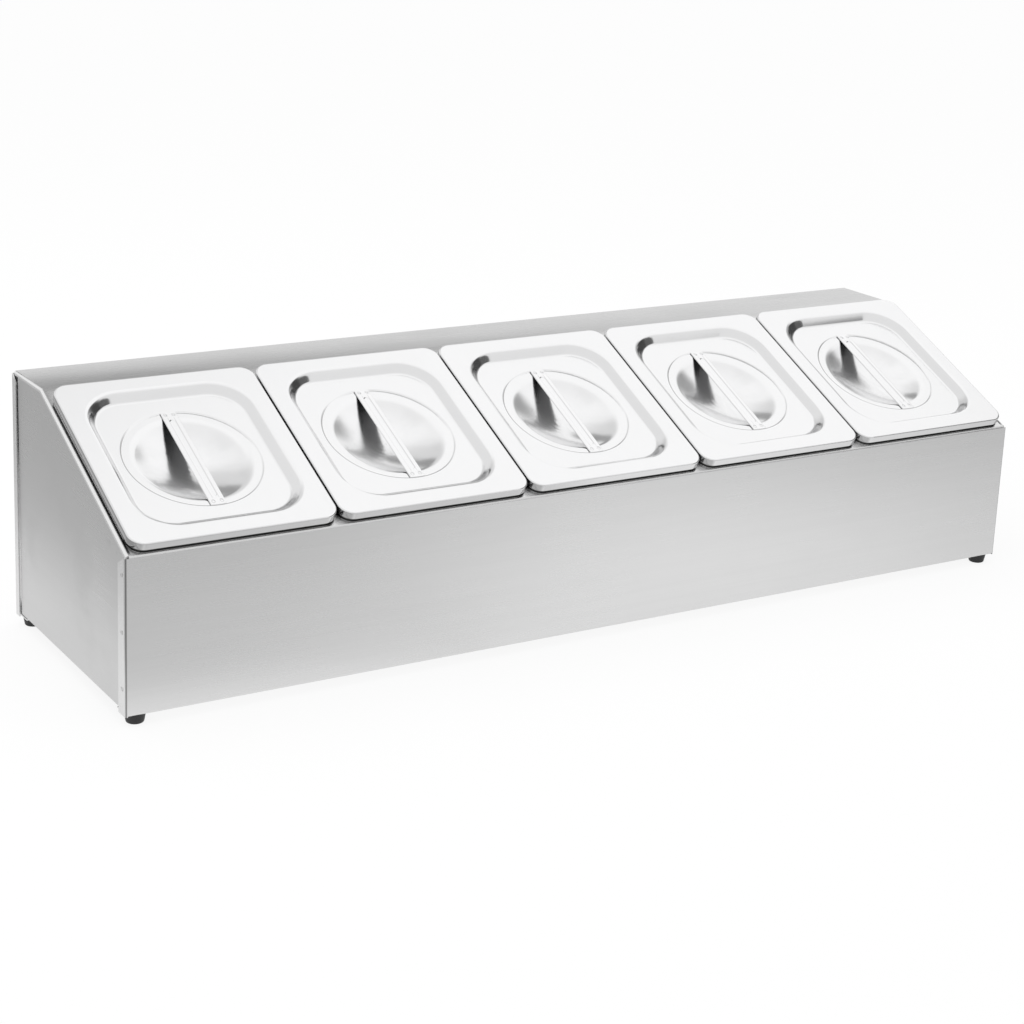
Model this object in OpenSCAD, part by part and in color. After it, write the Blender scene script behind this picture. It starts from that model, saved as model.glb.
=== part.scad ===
// Countertop gastronorm bar: a folded sheet-metal stand with a sloping deck,
// five lift-out one-sixth pans and a loose lift-off lid with a strap handle on each.
// Millimetres. +X runs along the row, -Y is the front, +Z is up, and the feet stand on Z = 0.

/* [Pans] */
// Outside width of a pan's flange, along the row
pan_width = 162; // [150:1:180]
// Outside length of a pan's flange, up the slope
pan_length = 176; // [160:1:200]
// Depth of a pan, from the top of its flange to the outside of its floor
pan_depth = 100; // [50:5:100]
// Gap between neighbouring pans
pan_gap = 1.5; // [1:0.5:6]
// Sheet thickness of the pans
pan_sheet = 0.8; // [0.6:0.1:1.2]
// Corner radius of the flange, seen from above
flange_corner = 12; // [8:1:16]
// Width of the flat flange
flange_width = 9; // [8:1:12]
// Height of the flange's turned-down lip
lip_height = 7.2; // [5:0.2:10]
// Radius of the corners of a pan's mouth
mouth_corner = 29; // [26:1:34]
// Outer radius of the fold from the flange into the wall
mouth_fold = 4; // [3:0.5:6]
// Slope of the pan's walls away from straight down
wall_draft = 5; // [3:0.5:7]
// Inner radius of the fold from the wall into the floor
floor_fold = 11; // [6:1:13]
// Depth of the stacking step below the flange
step_depth = 16; // [12:1:25]
// How far the stacking step goes in
step_inset = 1.5; // [1:0.25:2.5]

/* [Lids] */
// Sheet thickness of the lids
lid_sheet = 0.8; // [0.6:0.1:1.2]
// Height of a lid's turned-down skirt
skirt_height = 6; // [4:0.5:8]
// Outer radius of the fold from the rim into the skirt
skirt_fold = 1.5; // [1:0.25:2.5]
// Width of the flat rim round the sunken panel
rim_width = 12.75; // [12:0.25:16]
// Corner radius of the sunken panel's outer edge
panel_corner = 34; // [30:1:40]
// Depth of the sunken panel below the rim
panel_depth = 6.8; // [4:0.2:9]
// Width of the sloping band down to the panel
band_width = 10; // [8:0.5:12]
// Fillet radius at the top and the foot of the sloping band
band_fillet = 4; // [2:0.5:5]
// Diameter of the ledge round the bowl
ledge_diameter = 105; // [90:1:110]
// Width of the ledge round the bowl
ledge_width = 5.5; // [4:0.5:8]
// Depth of the bowl below its ledge
bowl_depth = 10.5; // [6:0.5:20]
// Fillet radius where the ledge turns into the bowl
bowl_fillet = 3; // [2:0.5:5]

/* [Lid handles] */
// Width of the strap handle
strap_width = 12.5; // [10:0.5:18]
// Thickness of the strap, and the depth of its seat in the lid
strap_sheet = 1.4; // [1:0.1:2]
// Width of the pressed channel along the strap
channel_width = 5.5; // [4:0.5:7]
// Depth of the pressed channel
channel_depth = 0.6; // [0.3:0.1:0.8]
// Flat length left at each end of the strap
tab_length = 9; // [7:0.5:12]
// Diameter of a spot weld on a handle
handle_weld = 2.4; // [1.5:0.1:3]

/* [Stand] */
// Sheet thickness of the stand
stand_sheet = 1; // [0.8:0.1:1.5]
// Height of the front panel up to the fold into the slope
front_height = 119; // [115:1:160]
// Angle of the sloping deck above level
slope_angle = 25; // [15:1:28]
// Depth of the level strip behind the slope
strip_depth = 60; // [30:1:120]
// Deck left free in front of the pans
front_margin = 2; // [1.5:0.5:20]
// Deck left free behind the pans
back_margin = 7.4; // [6:0.2:20]
// Deck left free beside the outermost pans
side_margin = 5; // [4.5:0.5:20]
// Outer radius of the stand's folds
fold_radius = 2; // [1.6:0.2:3]
// Clearance between a pan's body and its deck opening
opening_clearance = 1.2; // [0.8:0.1:2]
// Width of the front panel's side flanges
front_flange = 13; // [10:1:20]
// Width of the back panel's side flanges
back_flange = 9; // [6:1:15]
// Open slit between a side panel and the back flange
back_slit = 2; // [1:0.5:4]
// Width of the returns along the bottom of the front and back panels
bottom_return = 20; // [18:1:30]
// Height of the side panels' lower edge above the front panel's
side_lift = 3; // [2:0.5:10]
// Angle at which the top of the front flanges is cut back
front_mitre = 30; // [10:5:45]
// Angle at which the top of the back flanges is cut back
back_mitre = 45; // [10:5:50]
// Spot welds down each front flange
weld_count = 3; // [2:1:5]
// Diameter of a spot weld on the front flanges
flange_weld = 3.2; // [2:0.2:5]
// Height of the lowest spot weld
weld_from_bottom = 20; // [12:1:30]
// Distance of the highest spot weld below the top of the front panel
weld_from_top = 15; // [14:1:30]

/* [Feet] */
// Height of a rubber foot
foot_height = 8; // [6:0.5:15]
// Diameter of a foot at the top
foot_top = 16; // [14:0.5:18]
// Diameter of a foot where it stands
foot_bottom = 13.5; // [12.5:0.5:16]
// Distance from the stand's end to a foot's centre
foot_from_end = 11; // [10:0.5:40]
// Distance from the front or back panel to a foot's centre
foot_from_panel = 9.5; // [9:0.5:12]
// Diameter of the foot screws
screw_diameter = 4; // [3:0.5:4.5]

/* [Fits] */
// Clearance between parts that only rest on each other
rest_gap = 0.2; // [0.1:0.1:0.4]
// Clearance between sheets that are welded together
sheet_gap = 0.3; // [0.1:0.1:0.4]

/* [Hidden] */
pan_count = 5;

steel = "#c4c6c8";
bright_steel = "#dfe1e3";
rubber = "#1b1b1c";

// Facets of a full turn on plan corners, small round parts and the bowl
corner_fn = 48;
small_fn = 32;
bowl_fn = 72;
// Segments along a small fold and along the bowl's curve
fold_steps = 4;
bowl_steps = 9;
// How far a cutting solid reaches past what it cuts, and a sheet into its neighbour
bite = 1;
// Depth of a spot weld's dimple
weld_dimple = 0.3;

// Row
pan_pitch = pan_width + pan_gap;
stand_length = pan_count * pan_pitch - pan_gap + 2 * side_margin;
slope_length = front_margin + pan_length + back_margin;

// Stand, measured from its own front bottom edge
slope_run = slope_length * cos(slope_angle);
slope_rise = slope_length * sin(slope_angle);
stand_depth = slope_run + strip_depth;
back_height = front_height + slope_rise;
inner_fold = fold_radius - stand_sheet;
side_inset = stand_sheet + sheet_gap;
tray_leg = fold_radius + stand_sheet;
half_length = stand_length / 2;
front_fold_trim = fold_radius * tan((90 - slope_angle) / 2);

// Stack of lid, pan and deck, measured square to the slope from the deck's face
flange_top = rest_gap + lip_height;
lid_underside = flange_top + rest_gap;
lid_top = lid_underside + lid_sheet;

// The lids may stand proud of the front panel, and the origin is under the middle of the whole
lid_overhang = (lid_top - skirt_fold) * sin(slope_angle)
             - (front_margin + skirt_fold) * cos(slope_angle) + skirt_fold;
front_overhang = max(0, lid_overhang);
front_y = -(stand_depth - front_overhang) / 2;

// Pan
lip_inset = lid_sheet + 2 * rest_gap;
wall_inset = flange_width + mouth_fold;
opening_inset = wall_inset - pan_sheet - opening_clearance;
opening_corner = mouth_corner - mouth_fold + pan_sheet + opening_clearance;
// Below the stacking step, section points measured from the flange's inner edge
step_knee = [-mouth_fold - step_inset, -step_depth - step_inset];
floor_level = -pan_depth + pan_sheet;
wall_run = (step_knee.y - floor_level) * tan(wall_draft);
floor_fold_max = (mouth_corner + step_knee.x - wall_run) * cos(wall_draft) - bite;
floor_inner = min(floor_fold, floor_fold_max);
floor_centre = [step_knee.x - floor_inner / cos(wall_draft)
                - tan(wall_draft) * (step_knee.y - floor_level - floor_inner),
                floor_level + floor_inner];

// Lid
ledge_radius = ledge_diameter / 2;
bowl_radius = ledge_radius - ledge_width;
ledge_z = -panel_depth - strap_sheet;
bowl_sphere = (bowl_radius * bowl_radius + bowl_depth * bowl_depth) / (2 * bowl_depth);
step_fillet = strap_sheet / 2;
strap_length = ledge_diameter - 2 * rest_gap;
channel_length = strap_length - 2 * tab_length;

// Feet
head_diameter = 2 * screw_diameter;
head_height = 0.6 * screw_diameter;
head_recess = head_height + 1.4;
screw_end = 1;
screw_clearance = 0.3;
nut_across = 1.75 * screw_diameter;
nut_height = 0.8 * screw_diameter;
foot_edge = 1.5;

// ---- shared shapes -------------------------------------------------------------------

// Points of an arc round c, from angle a to angle b
function arc(c, r, a, b, steps) =
    [for (i = [0:steps]) let (t = a + (b - a) * i / steps) c + r * [cos(t), sin(t)]];

// Flat rounded rectangle, centred
module rounded_rectangle(w, l, r) {
    square([w - 2 * r, l], center = true);
    square([w, l - 2 * r], center = true);
    for (x = [-1, 1], y = [-1, 1])
        translate([x * (w / 2 - r), y * (l / 2 - r)]) circle(r, $fn = corner_fn);
}

module rounded_plate(w, l, r, z0, z1) {
    translate([0, 0, z0]) linear_extrude(z1 - z0) rounded_rectangle(w, l, r);
}

// Values and outlines on a grid of a thousandth, so that what is made from them in
// different places meets exactly
function snap(v) = round(v * 1000) / 1000;
function on_grid(outline) = [for (p = outline) [snap(p.x), snap(p.y)]];

// Sweeps a section round a rounded rectangle. The section's x is the distance outwards
// from the rectangle, and its y is the height.
module sweep_round(w, l, r, outline) {
    section = on_grid(outline);
    for (i = [0:3]) {
        run = (i % 2 == 0 ? l : w) / 2 - r;
        side = (i % 2 == 0 ? w : l) / 2;
        rotate(90 * i) {
            translate([side, run, 0]) rotate([90, 0, 0]) linear_extrude(2 * run) polygon(section);
            translate([side - r, run, 0])
                rotate_extrude(angle = 90, $fn = corner_fn)
                    polygon([for (p = section) [p.x + r, p.y]]);
        }
    }
}

// Puts its children on the slope: x along the row, y up the slope, z off the deck's face
module on_slope(x = 0, up = 0, off = 0) {
    translate([x, front_y, foot_height + front_height])
        rotate([slope_angle, 0, 0]) translate([0, up, off]) children();
}

// Puts its children on the deck opening of pan i
module at_pan(i, off = 0) {
    on_slope((i - (pan_count + 1) / 2) * pan_pitch, front_margin + pan_length / 2, off) children();
}

// Puts its children in the stand's own frame: x from its middle, y from its front, z from
// the lower edge of the front panel
module in_stand() {
    translate([0, front_y, foot_height]) children();
}

// ---- stand ---------------------------------------------------------------------------

// Sheet that runs up the y axis to the given length, with its outside on z = 0. Its lower
// end is folded down through the given angle and both its sides through 90 degrees.
module folded_sheet(length, angle) {
    half = half_length - side_inset;
    trim = snap(fold_radius * tan(angle / 2));
    end_centre = [trim, -fold_radius];
    side_centre = [half - fold_radius, -fold_radius];
    rotate([90, 0, 90]) linear_extrude(2 * side_centre.x, center = true)
        polygon(on_grid(concat(
            [[length, -stand_sheet], [length, 0]],
            arc(end_centre, fold_radius, 90, 90 + angle, fold_steps),
            arc(end_centre, inner_fold, 90 + angle, 90, fold_steps))));
    for (side = [0, 1]) mirror([side, 0, 0])
        translate([0, length, 0]) rotate([90, 0, 0]) linear_extrude(length - trim)
            polygon(on_grid(concat(
                arc(side_centre, fold_radius, 90, 0, fold_steps),
                [[half, -tray_leg], [half - stand_sheet, -tray_leg]],
                arc(side_centre, inner_fold, 0, 90, fold_steps))));
}

// Half of the stand's space, on one side of the plane that halves the angle between the
// slope and the strip: side -1 is the front, 1 the back
module half_space(side) {
    reach = 2 * stand_depth;
    tilt = 90 + slope_angle / 2;
    along = reach * [cos(tilt), sin(tilt)];
    away = side * reach * [sin(tilt), -cos(tilt)];
    translate([0, slope_run, back_height]) rotate([90, 0, 90])
        linear_extrude(stand_length, center = true) polygon([along, -along, -along + away, along + away]);
}

module deck_panel() {
    color(steel) in_stand() {
        intersection() {
            translate([0, 0, front_height]) rotate([slope_angle, 0, 0]) difference() {
                folded_sheet(slope_length + tray_leg, 90 - slope_angle);
                for (i = [1:pan_count])
                    translate([(i - (pan_count + 1) / 2) * pan_pitch, front_margin + pan_length / 2, 0])
                        rounded_plate(pan_width - 2 * opening_inset, pan_length - 2 * opening_inset,
                                      opening_corner, -stand_sheet - bite, bite);
            }
            half_space(-1);
        }
        intersection() {
            translate([0, stand_depth, back_height]) mirror([0, 1, 0])
                folded_sheet(strip_depth + tray_leg, 90);
            half_space(1);
        }
    }
}

// Plan section of the front or back panel: a sheet with a flange folded back at each end
module panel_section(flange) {
    centre = [half_length - fold_radius, fold_radius];
    right = concat(
        [[half_length - stand_sheet, flange], [half_length, flange]],
        arc(centre, fold_radius, 0, -90, fold_steps));
    inside = arc(centre, inner_fold, -90, 0, fold_steps);
    left = [for (i = [len(right) - 1:-1:0]) [-right[i].x, right[i].y]];
    inside_left = [for (i = [len(inside) - 1:-1:0]) [-inside[i].x, inside[i].y]];
    polygon(concat(right, left, inside_left, inside));
}

// Upright panel with side flanges and a return along its bottom, its outer face on y = 0.
// The flanges' tops are cut back at the angle mitre.
module upright_panel(height, flange, mitre) {
    between = stand_length - 2 * fold_radius;
    drop = (flange + bite - fold_radius) * tan(mitre);
    return_centre = [fold_radius, fold_radius];
    difference() {
        linear_extrude(height) panel_section(flange);
        // Room for the fold into the return
        cube([between, 2 * fold_radius, 2 * fold_radius], center = true);
        rotate([90, 0, 90]) linear_extrude(stand_length + 2 * bite, center = true)
            polygon([[fold_radius, height], [flange + bite, height - drop],
                     [flange + bite, height + bite], [fold_radius, height + bite]]);
    }
    difference() {
        rotate([90, 0, 90]) linear_extrude(between, center = true)
            polygon(concat(
                [[bottom_return, stand_sheet], [bottom_return, 0]],
                arc(return_centre, fold_radius, 270, 180, fold_steps),
                arc(return_centre, inner_fold, 180, 270, fold_steps)));
        for (x = [-1, 1])
            translate([x * (half_length - foot_from_end), foot_from_panel, -bite])
                cylinder(h = stand_sheet + 2 * bite, d = screw_diameter + screw_clearance,
                         $fn = small_fn);
    }
}

module front_panel() {
    height = front_height - front_fold_trim;
    weld_step = (front_height - weld_from_bottom - weld_from_top) / (weld_count - 1);
    color(steel) in_stand() difference() {
        upright_panel(height, front_flange, front_mitre);
        for (x = [-1, 1], i = [0:weld_count - 1])
            translate([x * half_length, front_flange / 2, weld_from_bottom + i * weld_step])
                rotate([0, 90, 0])
                    cylinder(h = 2 * weld_dimple, d = flange_weld, center = true, $fn = small_fn);
    }
}

module back_panel() {
    color(steel) in_stand() translate([0, stand_depth, 0]) mirror([0, 1, 0])
        upright_panel(back_height - fold_radius, back_flange, back_mitre);
}

// Side panel, its outer face on x = 0 and the stand on its +x side
module side_panel() {
    front = fold_radius + sheet_gap;
    back = stand_depth - back_flange - back_slit;
    run = slope_run + tray_leg * tan(slope_angle / 2);
    drop = front_height - tray_leg / cos(slope_angle);
    color(steel) rotate([90, 0, 90]) linear_extrude(stand_sheet)
        polygon([[front, side_lift], [back, side_lift], [back, back_height - tray_leg],
                 [run, back_height - tray_leg], [front, drop + front * tan(slope_angle)]]);
}

module left_side_panel() {
    in_stand() translate([-half_length + side_inset, 0, 0]) side_panel();
}

module right_side_panel() {
    in_stand() translate([half_length - side_inset - stand_sheet, 0, 0]) side_panel();
}

// ---- feet ----------------------------------------------------------------------------

// Puts its children under the foot at side sx (-1 left) and sy (-1 front), at floor level
module at_foot(sx, sy) {
    y = sy < 0 ? foot_from_panel : stand_depth - foot_from_panel;
    translate([sx * (half_length - foot_from_end), front_y + y, 0]) children();
}

module foot() {
    color(rubber) difference() {
        rotate_extrude($fn = small_fn)
            polygon(concat(
                [[0, 0]],
                arc([foot_bottom / 2 - foot_edge, foot_edge], foot_edge, -90, 0, fold_steps),
                [[foot_top / 2, foot_height], [0, foot_height]]));
        translate([0, 0, -bite])
            cylinder(h = head_recess + bite, d = head_diameter + 2 * screw_clearance, $fn = small_fn);
        cylinder(h = foot_height + bite, d = screw_diameter + screw_clearance, $fn = small_fn);
    }
}

module foot_front_left() { at_foot(-1, -1) foot(); }

module foot_front_right() { at_foot(1, -1) foot(); }

module foot_back_left() { at_foot(-1, 1) foot(); }

module foot_back_right() { at_foot(1, 1) foot(); }

module foot_screws() {
    screw_top = foot_height + stand_sheet + nut_height + screw_end;
    head_bottom = head_recess - head_height;
    color(steel) for (sx = [-1, 1], sy = [-1, 1]) at_foot(sx, sy) translate([0, 0, head_bottom]) {
        cylinder(h = head_height, d = head_diameter, $fn = small_fn);
        cylinder(h = screw_top - head_bottom, d = screw_diameter, $fn = small_fn);
    }
}

module foot_nuts() {
    color(steel) for (sx = [-1, 1], sy = [-1, 1]) at_foot(sx, sy)
        translate([0, 0, foot_height + stand_sheet]) difference() {
            cylinder(h = nut_height, d = nut_across / cos(30), $fn = 6);
            translate([0, 0, -bite])
                cylinder(h = nut_height + 2 * bite, d = screw_diameter + screw_clearance,
                         $fn = small_fn);
        }
}

// ---- pan -----------------------------------------------------------------------------

// Section of a sheet's outer fold and the edge turned down below it, from the outside at
// x = 0. It serves the pan's lip and the lid's skirt.
function edge_section(sheet, height) =
    let (centre = [-skirt_fold, -skirt_fold], inward = -skirt_fold - bite)
    concat([[inward, 0]], arc(centre, skirt_fold, 90, 0, fold_steps),
           [[0, -height], [-sheet, -height]],
           arc(centre, skirt_fold - sheet, 0, 90, fold_steps), [[inward, -sheet]]);

// Section of the pan's body, from the flange's inner edge at x = 0 down to the floor
function body_section() =
    let (t = pan_sheet, d = wall_draft, centre = [0, -mouth_fold],
         step = [-mouth_fold, -step_depth],
         // Offset of the sheet's outside at a corner of 45 degrees
         out = [t, -t * tan(22.5)],
         floor_end = floor_centre.x - bite)
    concat([[bite, 0]], arc(centre, mouth_fold, 90, 180, fold_steps), [step, step_knee],
           arc(floor_centre, floor_inner, -d, -90, fold_steps),
           [[floor_end, floor_level], [floor_end, -pan_depth]],
           arc(floor_centre, floor_inner + t, -90, -d, fold_steps),
           [step_knee + out, step + out],
           arc(centre, mouth_fold - t, 180, 90, fold_steps), [[bite, -t]]);

module pan(i) {
    mouth_w = pan_width - 2 * flange_width;
    mouth_l = pan_length - 2 * flange_width;
    lip_w = pan_width - 2 * lip_inset;
    lip_l = pan_length - 2 * lip_inset;
    lip_corner = flange_corner - lip_inset;
    color(bright_steel) at_pan(i, flange_top) {
        sweep_round(lip_w, lip_l, lip_corner, edge_section(pan_sheet, lip_height));
        difference() {
            rounded_plate(lip_w - 2 * skirt_fold, lip_l - 2 * skirt_fold, lip_corner - skirt_fold,
                          -pan_sheet, 0);
            rounded_plate(mouth_w, mouth_l, mouth_corner, -pan_sheet - bite, bite);
        }
        sweep_round(mouth_w, mouth_l, mouth_corner, body_section());
        rounded_plate(mouth_w + 2 * floor_centre.x, mouth_l + 2 * floor_centre.x,
                      mouth_corner + floor_centre.x, -pan_depth, floor_level);
    }
}

// ---- lid -----------------------------------------------------------------------------

// Section of the sloping band, from the rim's inner edge at x = 0 to the sunken panel
function band_section() =
    let (t = lid_sheet, r = band_fillet, w = band_width, h = panel_depth,
         // Angle of the straight between two equal fillets
         a = 2 * atan(h / (w + sqrt(w * w + h * h - 4 * r * h))),
         top_centre = [0, -r], foot_centre = [-w, -h + r])
    concat([[bite, 0]], arc(top_centre, r, 90, 90 + a, fold_steps),
           arc(foot_centre, r, a - 90, -90, fold_steps),
           [[-w - bite, -h], [-w - bite, -h - t]],
           arc(foot_centre, r + t, -90, a - 90, fold_steps),
           arc(top_centre, r - t, 90 + a, 90, fold_steps), [[bite, -t]]);

// Section of the step down to the ledge, the ledge and the bowl, from the axis outwards
function bowl_section() =
    let (t = lid_sheet, s = step_fillet, e = bowl_fillet,
         bowl_centre = [0, ledge_z - bowl_depth + bowl_sphere],
         // The edge fillet is tangent to the ledge's face and to the bowl's sphere
         reach = bowl_sphere + e,
         rise = bowl_sphere - bowl_depth + e,
         edge_centre = [sqrt(reach * reach - rise * rise), ledge_z - e],
         tilt = -asin(rise / reach),
         step_low = [ledge_radius - s, ledge_z + s],
         step_top = [ledge_radius + s, -panel_depth - s],
         outside = ledge_radius + s + bite)
    concat(arc(bowl_centre, bowl_sphere, -90, tilt, bowl_steps),
           arc(edge_centre, e, 180 + tilt, 90, fold_steps),
           arc(step_low, s, -90, 0, fold_steps),
           arc(step_top, s, 180, 90, fold_steps),
           [[outside, -panel_depth], [outside, -panel_depth - t],
            [ledge_radius + t, -panel_depth - t], [ledge_radius + t, ledge_z - t]],
           arc(edge_centre, e - t, 90, 180 + tilt, fold_steps),
           arc(bowl_centre, bowl_sphere + t, tilt, -90, bowl_steps));

module lid(i) {
    panel_w = pan_width - 2 * rim_width;
    panel_l = pan_length - 2 * rim_width;
    color(bright_steel) at_pan(i, lid_top) {
        sweep_round(pan_width, pan_length, flange_corner, edge_section(lid_sheet, skirt_height));
        difference() {
            rounded_plate(pan_width - 2 * skirt_fold, pan_length - 2 * skirt_fold,
                          flange_corner - skirt_fold, -lid_sheet, 0);
            rounded_plate(panel_w, panel_l, panel_corner, -lid_sheet - bite, bite);
        }
        sweep_round(panel_w, panel_l, panel_corner, band_section());
        difference() {
            rounded_plate(panel_w - 2 * band_width, panel_l - 2 * band_width,
                          panel_corner - band_width, -panel_depth - lid_sheet, -panel_depth);
            translate([0, 0, -2 * panel_depth])
                cylinder(h = 2 * panel_depth, r = ledge_radius + step_fillet, $fn = bowl_fn);
        }
        rotate_extrude($fn = bowl_fn) polygon(on_grid(bowl_section()));
    }
}

// Channel pressed along the strap: sloping sides, round ends, its mouth at z = 0
module strap_channel() {
    straight = channel_length - channel_width;
    floor_width = channel_width - 2 * channel_depth;
    rotate([90, 0, 0]) linear_extrude(straight, center = true)
        polygon([[-channel_width / 2, bite], [-channel_width / 2, 0],
                 [-floor_width / 2, -channel_depth], [floor_width / 2, -channel_depth],
                 [channel_width / 2, 0], [channel_width / 2, bite]]);
    for (y = [-straight / 2, straight / 2]) translate([0, y, -channel_depth]) {
        cylinder(h = channel_depth, d1 = floor_width, d2 = channel_width, $fn = small_fn);
        translate([0, 0, channel_depth]) cylinder(h = bite, d = channel_width, $fn = small_fn);
    }
}

// Strap handle that lies on the lid's ledge and spans the bowl
module lid_handle(i) {
    edge = strap_sheet / 2;
    edge_x = strap_width / 2 - edge;
    color(bright_steel) at_pan(i, lid_top + ledge_z) difference() {
        intersection() {
            // Strap with rounded long edges
            rotate([90, 0, 0]) linear_extrude(strap_length, center = true)
                polygon(concat(arc([edge_x, edge], edge, -90, 90, 2 * fold_steps),
                               arc([-edge_x, edge], edge, 90, 270, 2 * fold_steps)));
            // Its ends follow the round ledge
            translate([0, 0, -bite])
                cylinder(h = strap_sheet + 2 * bite, d = strap_length, $fn = bowl_fn);
        }
        translate([0, 0, strap_sheet]) strap_channel();
        for (x = [-1, 1], y = [-1, 1])
            translate([x * strap_width / 4, y * (strap_length - tab_length) / 2,
                       strap_sheet - weld_dimple])
                cylinder(h = strap_sheet, d = handle_weld, $fn = small_fn);
    }
}

// ---- assembly ------------------------------------------------------------------------

deck_panel();
front_panel();
back_panel();
left_side_panel();
right_side_panel();
foot_front_left();
foot_front_right();
foot_back_left();
foot_back_right();
foot_screws();
foot_nuts();
for (i = [1:pan_count]) {
    pan(i);
    lid(i);
    lid_handle(i);
}
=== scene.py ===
"""Brushed stainless countertop stand with five lidded pans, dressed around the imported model."""
import bpy
import math
from mathutils import Matrix, Vector


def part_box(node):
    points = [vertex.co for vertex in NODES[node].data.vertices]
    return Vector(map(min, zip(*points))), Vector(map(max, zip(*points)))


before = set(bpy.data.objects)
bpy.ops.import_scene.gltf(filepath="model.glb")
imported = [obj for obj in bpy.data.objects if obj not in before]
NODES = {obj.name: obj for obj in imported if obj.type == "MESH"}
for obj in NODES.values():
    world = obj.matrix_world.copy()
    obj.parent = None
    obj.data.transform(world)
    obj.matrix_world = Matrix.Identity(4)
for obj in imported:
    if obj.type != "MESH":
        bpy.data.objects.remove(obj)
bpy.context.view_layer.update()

# ---- places, in metres ------------------------------------------------------------------

# The stand: the front panel's lower corner, half the length, and the front's upper edge
FRONT_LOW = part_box("front_panel")[0]
FRONT_Y = FRONT_LOW.y
PANEL_BOTTOM = FRONT_LOW.z
HALF_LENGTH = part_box("back_panel")[1].x
FRONT_TOP = 0.127

# The row of lids: the step from one to the next, the middle of the middle one's handle, and
# the directions up the slope and out of it
PITCH = (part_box("pan_4")[0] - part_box("pan_3")[0]).x
MIDDLE_LID = 3
ROW_MIDDLE = (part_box("lid_handle_3")[0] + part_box("lid_handle_3")[1]) / 2.0
SLOPE = math.radians(25.0)
UP_SLOPE = Vector((0.0, math.cos(SLOPE), math.sin(SLOPE)))
OUT_OF_SLOPE = Vector((0.0, -math.sin(SLOPE), math.cos(SLOPE)))

# How far out of the slope the deck's upper side lies
DECK_LEVEL = Vector((0.0, FRONT_Y, FRONT_TOP)).dot(OUT_OF_SLOPE)

# A lid: its outline, the recess inside its rim, the round bowl with the shoulder where its
# wall starts to roll over, and the step round the bowl's ledge
LID_HALF_WIDTH = 0.081
LID_HALF_LENGTH = 0.088
LID_CORNER = 0.012
RECESS_HALF_WIDTH = 0.0765
RECESS_HALF_LENGTH = 0.0835
RECESS_DEPTH = 0.0066
BOWL_RADIUS = 0.0477
SHOULDER_START = 0.0405
STEP_FOOT = 0.0531
STEP_END = BOWL_RADIUS + 0.007

# A handle's strap: half its length, its pressed channel's edge, and its spot welds
STRAP_HALF = 0.0523
CHANNEL_EDGE = 0.0025
STRAP_WELD_ASIDE = 0.0033
STRAP_WELD_FROM_END = 0.0035

# The front flange's spot welds: heights above the panel's lower edge, and how far back
FLANGE_WELD_HEIGHTS = (0.020, 0.0625, 0.105)
FLANGE_WELD_BACK = 0.0045

# ---- finish -----------------------------------------------------------------------------

WHITE = (1.0, 1.0, 1.0, 1.0)
BLACK = (0.0, 0.0, 0.0, 1.0)

# Ground steel: how often its fine lines and its bands change in a metre, along and across
# the grain, and how far lines, bands and clouds shift its tone
LINES_ALONG = 14.0
LINES_ACROSS = 1900.0
BANDS_ALONG = 4.0
BANDS_ACROSS = 160.0
CLOUD_SCALE = 9.0
LINE_TONE = 0.025
BAND_TONE = 0.015
CLOUD_TONE = 0.012
LINE_ROUGHNESS = 0.05
LINE_HEIGHT = 0.000015

# Faces that meet at less than this many degrees are shaded as one
SOFT_ANGLE = 40.0


# ---- node helpers -----------------------------------------------------------------------

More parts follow.
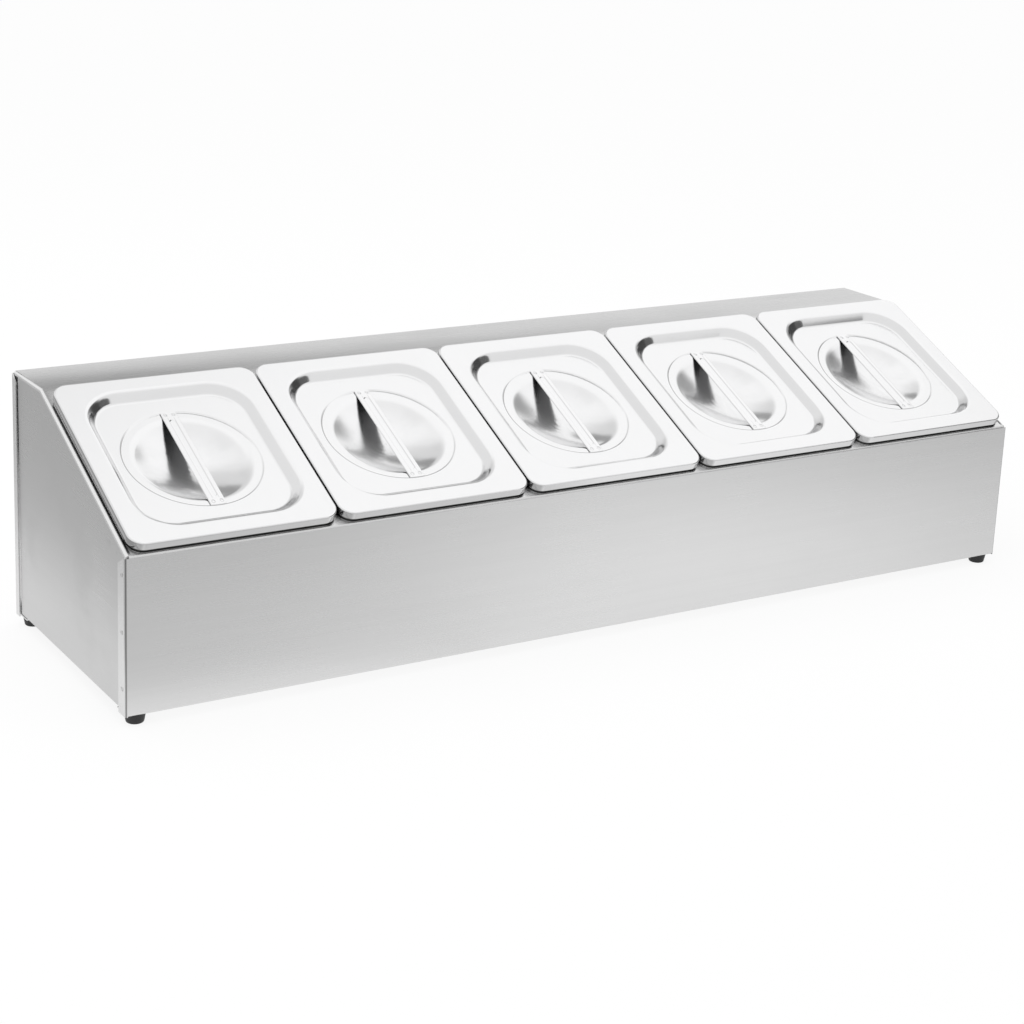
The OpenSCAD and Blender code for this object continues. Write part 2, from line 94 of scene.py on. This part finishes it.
class Tree:
    """Short calls for building a shader tree. A value is a number or another node's socket."""

    def __init__(self, owner):
        owner.use_nodes = True
        self.tree = owner.node_tree
        self.tree.nodes.clear()

    def node(self, kind, **settings):
        made = self.tree.nodes.new(kind)
        for key, value in settings.items():
            setattr(made, key, value)
        return made

    def put(self, socket, value):
        """Sets a socket to a number, or links it to another socket."""
        if isinstance(value, bpy.types.NodeSocket):
            self.tree.links.new(value, socket)
        elif value is not None:
            socket.default_value = value

    def math(self, operation, a, b=None, c=None):
        made = self.node("ShaderNodeMath", operation=operation)
        self.put(made.inputs[0], a)
        self.put(made.inputs[1], b)
        self.put(made.inputs[2], c)
        return made.outputs[0]

    def chain(self, operation, values):
        """One operation run through a row of values, from the first on."""
        total = values[0]
        for value in values[1:]:
            total = self.math(operation, total, value)
        return total

    def plus(self, *values):
        return self.chain("ADD", values)

    def times(self, *values):
        return self.chain("MULTIPLY", values)

    def most(self, *values):
        return self.chain("MAXIMUM", values)

    def minus(self, a, b):
        return self.math("SUBTRACT", a, b)

    def size(self, value):
        """A value without its sign."""
        return self.math("ABSOLUTE", value)

    def length(self, a, b):
        """The length of a step of a one way and b square to it."""
        return self.math("SQRT", self.plus(self.times(a, a), self.times(b, b)))

    def blend(self, factor, a, b):
        """a where factor is 0 and b where it is 1, for numbers."""
        made = self.node("ShaderNodeMix", data_type="FLOAT", clamp_factor=True)
        self.put(made.inputs[0], factor)
        self.put(made.inputs[2], a)
        self.put(made.inputs[3], b)
        return made.outputs[0]

    def tint(self, factor, a, b):
        """a where factor is 0 and b where it is 1, for colours."""
        made = self.node("ShaderNodeMix", data_type="RGBA", clamp_factor=True)
        self.put(made.inputs[0], factor)
        self.put(made.inputs[6], a)
        self.put(made.inputs[7], b)
        return made.outputs[2]

    def ramp(self, value, low, high, start=0.0, end=1.0):
        """Smooth step from start to end as value goes from low to high."""
        made = self.node("ShaderNodeMapRange", interpolation_type="SMOOTHSTEP")
        self.put(made.inputs["Value"], value)
        self.put(made.inputs["From Min"], low)
        self.put(made.inputs["From Max"], high)
        self.put(made.inputs["To Min"], start)
        self.put(made.inputs["To Max"], end)
        return made.outputs["Result"]

    def dot(self, vector, direction):
        made = self.node("ShaderNodeVectorMath", operation="DOT_PRODUCT")
        self.put(made.inputs[0], vector)
        made.inputs[1].default_value = direction
        return made.outputs["Value"]

    def scaled(self, vector, scale):
        made = self.node("ShaderNodeVectorMath", operation="MULTIPLY")
        self.put(made.inputs[0], vector)
        made.inputs[1].default_value = scale
        return made.outputs["Vector"]

    def noise(self, vector, scale, detail, roughness):
        made = self.node("ShaderNodeTexNoise")
        self.put(made.inputs["Vector"], vector)
        made.inputs["Scale"].default_value = scale
        made.inputs["Detail"].default_value = detail
        made.inputs["Roughness"].default_value = roughness
        return made.outputs["Fac"]

    def split(self, vector):
        made = self.node("ShaderNodeSeparateXYZ")
        self.put(made.inputs[0], vector)
        return made.outputs

    def joined(self, x, y, z):
        made = self.node("ShaderNodeCombineXYZ")
        self.put(made.inputs[0], x)
        self.put(made.inputs[1], y)
        self.put(made.inputs[2], z)
        return made.outputs[0]

    def place(self):
        """Where a spot is on the object at rest, in metres."""
        return self.node("ShaderNodeTexCoord").outputs["Object"]

    def facing(self, direction):
        """How squarely the surface faces a direction, from -1 to 1."""
        return self.dot(self.node("ShaderNodeNewGeometry").outputs["Normal"], direction)

    def bump(self, height, distance):
        made = self.node("ShaderNodeBump")
        made.inputs["Strength"].default_value = 1.0
        made.inputs["Distance"].default_value = distance
        self.put(made.inputs["Height"], height)
        return made.outputs["Normal"]

    def principled(self, **values):
        """A Principled shader, with a socket's name written with _ for a space."""
        shader = self.node("ShaderNodeBsdfPrincipled")
        for key, value in values.items():
            self.put(shader.inputs[key.replace("_", " ")], value)
        return shader

    def glow(self, strength):
        made = self.node("ShaderNodeEmission")
        self.put(made.inputs["Strength"], strength)
        return made.outputs[0]

    def mixed(self, factor, a, b):
        """a where factor is 0 and b where it is 1, for shaders."""
        made = self.node("ShaderNodeMixShader")
        self.put(made.inputs[0], factor)
        self.put(made.inputs[1], a)
        self.put(made.inputs[2], b)
        return made.outputs[0]

    def is_ray(self, *kinds):
        """1 for the given kinds of ray, else 0."""
        path = self.node("ShaderNodeLightPath")
        return self.most(*[path.outputs[kind] for kind in kinds])

    def show(self, surface, kind="ShaderNodeOutputMaterial"):
        self.put(self.node(kind).inputs["Surface"], surface)


# ---- places on the surface --------------------------------------------------------------

def along_row(tree, place):
    """The distance to the right of the nearest lid's middle line, and up the slope from its
    handle's middle. Past the outer edges of lids 1 and 5 the first one wraps round."""
    across = tree.math("WRAP", tree.split(place)[0], PITCH / 2.0, -PITCH / 2.0)
    up = tree.minus(tree.dot(place, UP_SLOPE), ROW_MIDDLE.dot(UP_SLOPE))
    return across, up


def outside_lid(tree, across, up):
    """How far a spot lies outside a lid's rounded outline."""
    aside = tree.minus(tree.size(across), LID_HALF_WIDTH - LID_CORNER)
    ahead = tree.minus(tree.size(up), LID_HALF_LENGTH - LID_CORNER)
    return tree.minus(tree.length(tree.most(aside, 0.0), tree.most(ahead, 0.0)), LID_CORNER)


def at_front(tree, up):
    """1 towards the front edge of the lids, else 0."""
    return tree.ramp(up, -0.070, -0.074)


def above_deck(tree, place):
    """How far out of the deck's upper side a spot lies."""
    return tree.minus(tree.dot(place, OUT_OF_SLOPE), DECK_LEVEL)


def from_end(tree, x):
    """How far a spot lies inside the stand's left or right end."""
    return tree.minus(HALF_LENGTH, tree.size(x))


# ---- marks: a shade and a dullness for each kind of sheet -------------------------------

def bowl_streaks(tree, across, up, radius):
    """Drawing streaks that run out from the middle of a lid's bowl."""
    turn = tree.math("ARCTAN2", across, up)
    spread = tree.joined(tree.times(turn, 2.0), tree.times(radius, 40.0), 0.0)
    streaks = tree.ramp(tree.noise(spread, 1.0, 2.0, 0.5), 0.35, 0.7)
    inside = tree.ramp(radius, BOWL_RADIUS - 0.002, BOWL_RADIUS - 0.010)
    return tree.times(streaks, inside, 0.04)


def skirt_shade(tree, x, up, facing_out):
    """Painted shade on a lid's skirt. To the left and right it shows near a lid's front and back
    edges and at the ends of the row, and ahead and behind it shows left of the row's middle."""
    right = tree.facing((1.0, 0.0, 0.0))
    # painted shade, set by which way the skirt faces and where the lid stands in the row
    sideways = tree.plus(tree.ramp(right, -0.12, -0.45, 0.04, 0.45),
                         tree.ramp(right, 0.3, 0.8, 0.0, 0.28))
    seen = tree.most(tree.ramp(tree.size(up), 0.066, 0.072), tree.ramp(tree.size(x), 0.400, 0.405))
    ahead = tree.times(tree.ramp(tree.size(right), 0.3, 0.1), tree.ramp(x, 0.01, -0.08, 0.0, 0.24))
    return tree.times(tree.ramp(facing_out, 0.45, 0.2), tree.plus(tree.times(sideways, seen), ahead))


def lid_marks(tree, place):
    """Streaks in the bowl, painted shade on the walls and skirts, a painted dark line in the foot of
    the step on its left and front side, and rubbed skin on the flats."""
    across, up = along_row(tree, place)
    radius = tree.length(across, up)
    streaks = bowl_streaks(tree, across, up, radius)
    facing_out = tree.facing(OUT_OF_SLOPE)
    # painted shade on faces that turn away from the slope: the recess walls and the skirts
    wall = tree.times(tree.ramp(facing_out, 0.93, 0.75), 0.11)
    skirt = skirt_shade(tree, tree.split(place)[0], up, facing_out)
    # painted dark line round the foot of the step, on its left and front side
    foot = tree.times(tree.ramp(tree.size(tree.minus(radius, STEP_FOOT)), 0.0007, 0.0002),
                      tree.ramp(tree.plus(up, across), 0.010, -0.030), 0.5)
    rubbed = tree.ramp(tree.noise(place, 45.0, 4.0, 0.65), 0.5, 0.8)
    return tree.most(streaks, wall, skirt, foot), tree.times(rubbed, 0.05)


def handle_marks(tree, place):
    """Spot welds at both ends of a strap, painted dark lines beside its channel, and a painted shade on
    its underside, which is also made duller.
    """
    across, up = along_row(tree, place)
    side = tree.size(across)
    end = tree.size(up)
    weld = tree.length(tree.minus(side, STRAP_WELD_ASIDE),
                       tree.minus(end, STRAP_HALF - STRAP_WELD_FROM_END))
    ring = tree.times(tree.ramp(weld, 0.0007, 0.0011), tree.ramp(weld, 0.0020, 0.0014), 0.16)
    # painted dark lines along the edges of the channel
    groove = tree.times(tree.ramp(tree.size(tree.minus(side, CHANNEL_EDGE)), 0.00055, 0.00015),
                        tree.ramp(end, STRAP_HALF - 0.006, STRAP_HALF - 0.008), 0.11)
    # painted shade on the strap's underside; the roughness added there is real dullness
    under = tree.ramp(tree.facing(OUT_OF_SLOPE), -0.2, -0.6)
    return tree.most(ring, groove, tree.times(under, 0.80)), tree.times(under, 0.2)


def pan_marks(tree, place):
    """A painted shadow along the lower edge of a pan's turned-down lip at the front, and light wear."""
    across, up = along_row(tree, place)
    # painted shadow along the lip's lower edge at the front, in the gap under the lid's skirt
    lip = tree.ramp(outside_lid(tree, across, up), -0.0035, -0.0025)
    low = tree.ramp(above_deck(tree, place), 0.0018, 0.0010)
    worn = tree.ramp(tree.noise(place, 60.0, 3.0, 0.6), 0.5, 0.75)
    return tree.times(lip, low, at_front(tree, up), 0.75), tree.times(worn, 0.05)


def front_marks(tree, place):
    """Spot welds down the flange that folds round the left and right ends, a painted dark reflection
    along the fold beside it, and smears."""
    x, y, z = tree.split(place)
    height = tree.minus(z, PANEL_BOTTOM)
    spots = []
    for level in FLANGE_WELD_HEIGHTS:
        away = tree.length(tree.minus(y, FRONT_Y + FLANGE_WELD_BACK),
                           tree.times(tree.minus(height, level), 0.6))
        spots.append(tree.ramp(away, 0.0013, 0.0006))
    inwards = from_end(tree, x)
    welds = tree.times(tree.most(*spots), tree.ramp(inwards, 0.0006, 0.0002), 0.5)
    # painted dark reflection along the fold round the end
    fold = tree.times(tree.ramp(inwards, 0.0016, 0.0012),
                      tree.ramp(tree.minus(y, FRONT_Y), 0.0012, 0.0006), 0.62)
    smear = tree.ramp(tree.noise(tree.scaled(place, (1.0, 1.0, 2.5)), 7.0, 3.0, 0.55), 0.52, 0.75)
    return tree.most(welds, fold), tree.times(smear, 0.05)


def deck_marks(tree, place):
    """Painted shadow under the lids' front edges and beside the first and last lid, painted shade at
    the front fold and on the level strip, and patches where the deck is wiped."""
    across, up = along_row(tree, place)
    inwards = from_end(tree, tree.split(place)[0])
    inner = tree.ramp(inwards, 0.0033, 0.0039)
    # painted shadow under the lids' front edges and in the gaps beside the first and last lid
    under_lid = tree.ramp(outside_lid(tree, across, up), 0.0001, -0.0006, 0.0, 0.85)
    ahead = tree.times(under_lid, at_front(tree, up), inner)
    beside = tree.times(inner, tree.ramp(inwards, 0.0056, 0.0050),
                        tree.ramp(tree.size(tree.plus(up, 0.006)), 0.083, 0.079), 0.9)
    # painted shade on the front fold, dimming its highlight
    fold = tree.ramp(up, -0.0884, -0.0890, 0.0, 0.2)
    # painted shade on the level strip, set by which way it faces
    strip = tree.times(tree.ramp(tree.facing((0.0, 0.0, 1.0)), 0.93, 0.99), 0.26)
    wiped = tree.ramp(tree.noise(tree.scaled(place, (1.0, 4.0, 4.0)), 8.0, 4.0, 0.6), 0.5, 0.75)
    return tree.most(beside, ahead, fold, strip), tree.times(wiped, 0.06)


def side_marks(tree, place):
    """Small heat marks near the welded sloping edge of the side sheets, and handling smears."""
    spots = tree.noise(tree.scaled(place, (1.0, 75.0, 75.0)), 1.0, 2.0, 0.5)
    near_edge = tree.ramp(tree.size(above_deck(tree, place)), 0.018, 0.006)
    smear = tree.ramp(tree.noise(place, 14.0, 4.0, 0.6), 0.5, 0.75)
    return tree.times(tree.ramp(spots, 0.66, 0.74), near_edge, 0.22), tree.times(smear, 0.06)


# ---- materials --------------------------------------------------------------------------

def grain_noise(tree, place, axis, along, across, detail, roughness):
    """Noise drawn out along one axis."""
    stretch = [across, across, across]
    stretch[axis] = along
    return tree.noise(tree.scaled(place, stretch), 1.0, detail, roughness)


def steel(name, tone, gloss, grain_axis, grain, anisotropy=0.0, marks=None):
    """Stainless sheet: metal of the given tone and roughness, with fine grinding lines
    along one axis of the row frame, as strong as grain says, and slow changes of tone. The
    marks give a darkening, partly painted shade and partly welds and heat marks, and a dullness of
    their own."""
    material = bpy.data.materials.new(name)
    tree = Tree(material)
    place = tree.place()
    axis = "xyz".index(grain_axis)
    lines = grain_noise(tree, place, axis, LINES_ALONG, LINES_ACROSS, 3.0, 0.6)
    bands = grain_noise(tree, place, axis, BANDS_ALONG, BANDS_ACROSS, 2.0, 0.5)
    clouds = tree.noise(place, CLOUD_SCALE, 3.0, 0.55)
    level = tree.plus(tree.ramp(lines, 0.3, 0.7, -LINE_TONE * grain, LINE_TONE * grain),
                      tree.ramp(bands, 0.3, 0.7, -BAND_TONE * grain, BAND_TONE * grain),
                      tree.ramp(clouds, 0.3, 0.7, -CLOUD_TONE, CLOUD_TONE))
    dark = [part * 0.8 for part in tone]
    colour = tree.tint(tree.plus(0.5, tree.times(level, -2.5)), [*tone, 1.0], [*dark, 1.0])
    spread = LINE_ROUGHNESS * grain
    rough = tree.plus(tree.ramp(lines, 0.3, 0.7, gloss - spread, gloss + spread),
                      tree.ramp(clouds, 0.35, 0.65, -0.015, 0.02))
    if marks:
        # the marks' darkening: painted shade, with real welds and heat marks on some sheets
        shade, dullness = marks(tree, place)
        colour = tree.tint(shade, colour, BLACK)
        rough = tree.plus(rough, dullness)
    relief = tree.bump(lines, LINE_HEIGHT * grain)
    shader = tree.principled(Base_Color=colour, Roughness=rough, Normal=relief)
    shader.inputs["Metallic"].default_value = 1.0
    if anisotropy:
        tangent = tree.node("ShaderNodeCombineXYZ")
        tangent.inputs[axis].default_value = 1.0
        shader.inputs["Anisotropic"].default_value = anisotropy
        tree.put(shader.inputs["Tangent"], tangent.outputs[0])
    tree.show(shader.outputs[0])
    return material


def rubber(name):
    """Dull black rubber with a fine grain and patches of dust."""
    material = bpy.data.materials.new(name)
    tree = Tree(material)
    place = tree.place()
    grain = tree.noise(place, 900.0, 3.0, 0.6)
    dust = tree.ramp(tree.noise(place, 60.0, 3.0, 0.6), 0.45, 0.75)
    colour = tree.tint(dust, (0.012, 0.012, 0.013, 1.0), (0.03, 0.03, 0.031, 1.0))
    rough = tree.ramp(grain, 0.3, 0.7, 0.42, 0.6)
    shader = tree.principled(Base_Color=colour, Roughness=rough, Normal=tree.bump(grain, 0.00012))
    tree.show(shader.outputs[0])
    return material


def wear(node, material):
    """Gives a CAD node its material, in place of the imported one."""
    for slot in NODES[node].material_slots:
        slot.material = material


# ---- shading of the sheets --------------------------------------------------------------

def is_lid(node):
    return node.startswith("lid_") and "handle" not in node


def spot_key(mesh, vertex):
    """A vertex's place to a hundredth of a millimetre, the same for all that meet there."""
    return tuple(round(c * 100000) for c in mesh.vertices[vertex].co)


def corner_normals(mesh):
    """A normal for each corner of each face, smooth across the small facets of folds and bowls.
    The widest flat face at a corner decides it, so the flat sheets stay flat up to their folds."""
    limit = math.cos(math.radians(SOFT_ANGLE))
    normals = [face.normal.copy() for face in mesh.polygons]
    keys = [tuple(round(c, 3) for c in normal) for normal in normals]
    weight = {}
    meeting = {}
    for face in mesh.polygons:
        key = keys[face.index]
        weight[key] = weight.get(key, 0.0) + face.area
        for vertex in face.vertices:
            meeting.setdefault(spot_key(mesh, vertex), set()).add(face.index)
    result = [None] * len(mesh.loops)
    for face in mesh.polygons:
        own = normals[face.index]
        for loop in face.loop_indices:
            total = Vector((0.0, 0.0, 0.0))
            seen = set()
            for other in meeting[spot_key(mesh, mesh.loops[loop].vertex_index)]:
                if keys[other] not in seen and normals[other].dot(own) > limit:
                    seen.add(keys[other])
                    total += normals[other] * weight[keys[other]] ** 2
            result[loop] = total.normalized() if total.length else own
    return result


def eased(normal, spot, middle, top):
    """The normal at a spot of a lid, as a drawn sheet turns it: the bowl rolls softly onto its
    ledge, the step round the ledge is shallow, and the recess starts with a wide soft edge."""
    if normal.dot(OUT_OF_SLOPE) < 0.02:
        return normal
    away = spot - middle
    radius = (away - OUT_OF_SLOPE * away.dot(OUT_OF_SLOPE)).length
    if radius < BOWL_RADIUS + 0.001:
        part = min(1.0, max(0.0, (radius - SHOULDER_START) / (BOWL_RADIUS - SHOULDER_START)))
        return normal.lerp(OUT_OF_SLOPE, part * part * (3.0 - 2.0 * part)).normalized()
    if radius < STEP_END:
        return normal.lerp(OUT_OF_SLOPE, 0.6).normalized()
    depth = top - spot.dot(OUT_OF_SLOPE)
    in_recess = abs(away.x) < RECESS_HALF_WIDTH and abs(away.dot(UP_SLOPE)) < RECESS_HALF_LENGTH
    if in_recess and 0.0001 < depth < RECESS_DEPTH:
        return OUT_OF_SLOPE.lerp(normal, min(1.02, 0.5 + depth / 0.004)).normalized()
    return normal


def ease_lid(node, mesh, normals):
    """Eases all the normals of a lid, in place."""
    middle = ROW_MIDDLE + Vector(((int(node[-1]) - MIDDLE_LID) * PITCH, 0.0, 0.0))
    top = max(vertex.co.dot(OUT_OF_SLOPE) for vertex in mesh.vertices)
    for loop in mesh.loops:
        spot = mesh.vertices[loop.vertex_index].co
        normals[loop.index] = eased(normals[loop.index], spot, middle, top)


def soften(node):
    """Shades a CAD node with soft normals. They are on a copy of its mesh, and a modifier lends
    them to the node, so that the node's own mesh stays as it is."""
    piece = NODES[node]
    turned = piece.data.copy()
    normals = corner_normals(turned)
    if is_lid(node):
        ease_lid(node, turned, normals)
    turned.shade_smooth()
    turned.normals_split_custom_set(normals)
    modifier = piece.modifiers.new("normals", "DATA_TRANSFER")
    modifier.object = bpy.data.objects.new(piece.name + "_normals", turned)
    modifier.use_object_transform = False
    modifier.use_loop_data = True
    modifier.data_types_loops = {"CUSTOM_NORMAL"}
    modifier.loop_mapping = "TOPOLOGY"


def dress():
    """Gives every CAD node its material and its soft shading."""
    front_steel = steel("front_steel", (0.84, 0.84, 0.84), 0.30, "x", 0.75, 0.6, front_marks)
    side_steel = steel("side_steel", (0.70, 0.70, 0.70), 0.30, "y", 0.6, 0.5, side_marks)
    deck_steel = steel("deck_steel", (0.90, 0.90, 0.90), 0.28, "x", 0.8, 0.3, deck_marks)
    lid_steel = steel("lid_steel", (0.925, 0.925, 0.93), 0.15, "y", grain=0.35, marks=lid_marks)
    pan_steel = steel("pan_steel", (0.80, 0.80, 0.80), 0.24, "x", grain=0.5, marks=pan_marks)
    handle_steel = steel("handle_steel", (0.94, 0.94, 0.945), 0.18, "y", grain=0.35, marks=handle_marks)
    zinc = steel("zinc", (0.62, 0.63, 0.65), 0.35, "z", grain=0.5)
    black_rubber = rubber("black_rubber")
    materials = {"deck_panel": deck_steel, "front_panel": front_steel, "back_panel": front_steel,
                 "left_side_panel": side_steel, "right_side_panel": side_steel,
                 "foot_screws": zinc, "foot_nuts": zinc}
    for name in NODES:
        if name.startswith("lid_handle"):
            materials[name] = handle_steel
        elif name.startswith("lid"):
            materials[name] = lid_steel
        elif name.startswith("pan"):
            materials[name] = pan_steel
        elif name.startswith("foot") and name not in materials:
            materials[name] = black_rubber
    for name, material in materials.items():
        wear(name, material)
        soften(name)


# ---- stage ------------------------------------------------------------------------------

def mirrored_floor(tree):
    """How bright the floor glows in the steel, a painted reflection: a white sheet round the object,
    on a greyer table. The sheet ends beside the object, is cut off at its front left corner, and fades
    out ahead and to the right."""
    x, y = tree.split(tree.place())[:2]
    ahead = tree.minus(FRONT_Y, y)
    corner = tree.minus(tree.times(ahead, 0.8), x)
    cut = tree.times(tree.ramp(corner, -0.05, 0.52), tree.ramp(ahead, 0.0, 0.1), 0.32)
    far = tree.times(tree.ramp(ahead, 0.15, 0.42), 0.12)
    right = tree.times(tree.ramp(x, 0.15, 0.75), 0.30)
    beside = tree.times(tree.ramp(tree.times(x, -1.0), HALF_LENGTH + 0.065, HALF_LENGTH + 0.145), 0.5)
    return tree.minus(0.98, tree.most(tree.plus(cut, far, right), beside))


def make_floor():
    """Pale floor: white to the camera but for the object's soft shadow, and with a painted
    reflection of a sheet and a table of its own, which glows only in the steel."""
    bpy.ops.mesh.primitive_plane_add(size=16.0, location=(0.0, 0.0, 0.0))
    floor = bpy.context.object
    floor.name = "floor"
    material = bpy.data.materials.new("floor")
    tree = Tree(material)
    diffuse = tree.node("ShaderNodeBsdfDiffuse")
    diffuse.inputs["Color"].default_value = (0.9, 0.9, 0.9, 1.0)
    lit = diffuse.outputs[0]
    to_camera = tree.mixed(0.88, lit, tree.glow(1.0))
    # painted reflection: for glossy rays the floor glows with the brightness of mirrored_floor
    to_gloss = tree.mixed(0.85, lit, tree.glow(mirrored_floor(tree)))
    by_gloss = tree.mixed(tree.is_ray("Is Glossy Ray", "Is Transmission Ray"), lit, to_gloss)
    tree.show(tree.mixed(tree.is_ray("Is Camera Ray"), by_gloss, to_camera))
    floor.data.materials.append(material)


def towards(bearing, height):
    """Direction at a bearing from +Y towards +X and a height above level, in degrees."""
    b = math.radians(bearing)
    h = math.radians(height)
    return Vector((math.sin(b) * math.cos(h), math.cos(b) * math.cos(h), math.sin(h)))


# What the polished steel mirrors: a direction, the half angles in degrees where the place
# starts and is full, and its brightness. Later places cover earlier ones.
STUDIO_LIGHT = 1.0
STUDIO_PLACES = [
    (towards(58, 54), 42.0, 14.0, 1.12),
    (towards(14, 46), 26.0, 8.0, 0.80),
    (towards(21, 36), 10.5, 4.5, 0.36),
    (towards(36, 39), 8.5, 4.0, 0.36),
    (towards(7, 28), 9.0, 4.5, 0.13),
    (towards(75, 26), 18.0, 6.0, 0.42),
    (towards(97, 8), 30.0, 14.0, 0.07),
    (towards(124, 10), 17.5, 15.0, 0.14),
]


def make_world():
    """Soft white studio with a few greyer and darker places, which draw the curves of the
    polished steel. The camera sees plain white."""
    world = bpy.data.worlds.new("studio")
    bpy.context.scene.world = world
    tree = Tree(world)
    ray = tree.node("ShaderNodeTexCoord").outputs["Generated"]
    light = STUDIO_LIGHT
    for direction, start, full, level in STUDIO_PLACES:
        amount = tree.ramp(tree.dot(ray, direction), math.cos(math.radians(start)),
                           math.cos(math.radians(full)))
        light = tree.blend(amount, light, level)
    background = tree.node("ShaderNodeBackground")
    background.inputs["Color"].default_value = WHITE
    tree.put(background.inputs["Strength"], tree.blend(tree.is_ray("Is Camera Ray"), light, 1.0))
    tree.show(background.outputs[0], "ShaderNodeOutputWorld")


def area_light(name, location, target, size, energy):
    """A soft lamp for the floor and the rubber, while the steel mirrors only the studio."""
    data = bpy.data.lights.new(name, "AREA")
    data.shape = "RECTANGLE"
    data.size = size[0]
    data.size_y = size[1]
    data.energy = energy
    light = bpy.data.objects.new(name, data)
    bpy.context.scene.collection.objects.link(light)
    light.location = location
    light.rotation_euler = (Vector(target) - Vector(location)).to_track_quat("-Z", "Y").to_euler()
    light.visible_glossy = False


def make_camera():
    """The photograph's viewpoint: yaw to the right of +Y, pitch and roll in radians, and the
    camera's place from the lower left corner of the front."""
    yaw = 0.5550
    pitch = -0.2601
    roll = 0.0406
    from_corner = Vector((-0.5300, -1.3238, 0.6232))
    ahead = Vector((math.sin(yaw) * math.cos(pitch), math.cos(yaw) * math.cos(pitch), math.sin(pitch)))
    level = Vector((math.cos(yaw), -math.sin(yaw), 0.0))
    upright = level.cross(ahead)
    right = math.cos(roll) * level + math.sin(roll) * upright
    above = -math.sin(roll) * level + math.cos(roll) * upright
    data = bpy.data.cameras.new("camera")
    data.sensor_width = 36.0
    data.lens = 76.10
    data.shift_x = 0.02
    data.shift_y = -0.12
    data.clip_start = 0.01
    camera = bpy.data.objects.new("camera", data)
    corner = Vector((-HALF_LENGTH, FRONT_Y, PANEL_BOTTOM))
    turn = Matrix((right, above, -ahead)).transposed().to_4x4()
    camera.matrix_world = Matrix.Translation(corner + from_corner) @ turn
    bpy.context.scene.collection.objects.link(camera)
    bpy.context.scene.camera = camera


make_camera()
make_world()
make_floor()
area_light("overhead", location=(-0.3, 0.3, 1.6), target=(0.0, 0.0, 0.1), size=(2.2, 1.6), energy=9.0)
dress()
bpy.context.scene.view_settings.view_transform = "Standard"
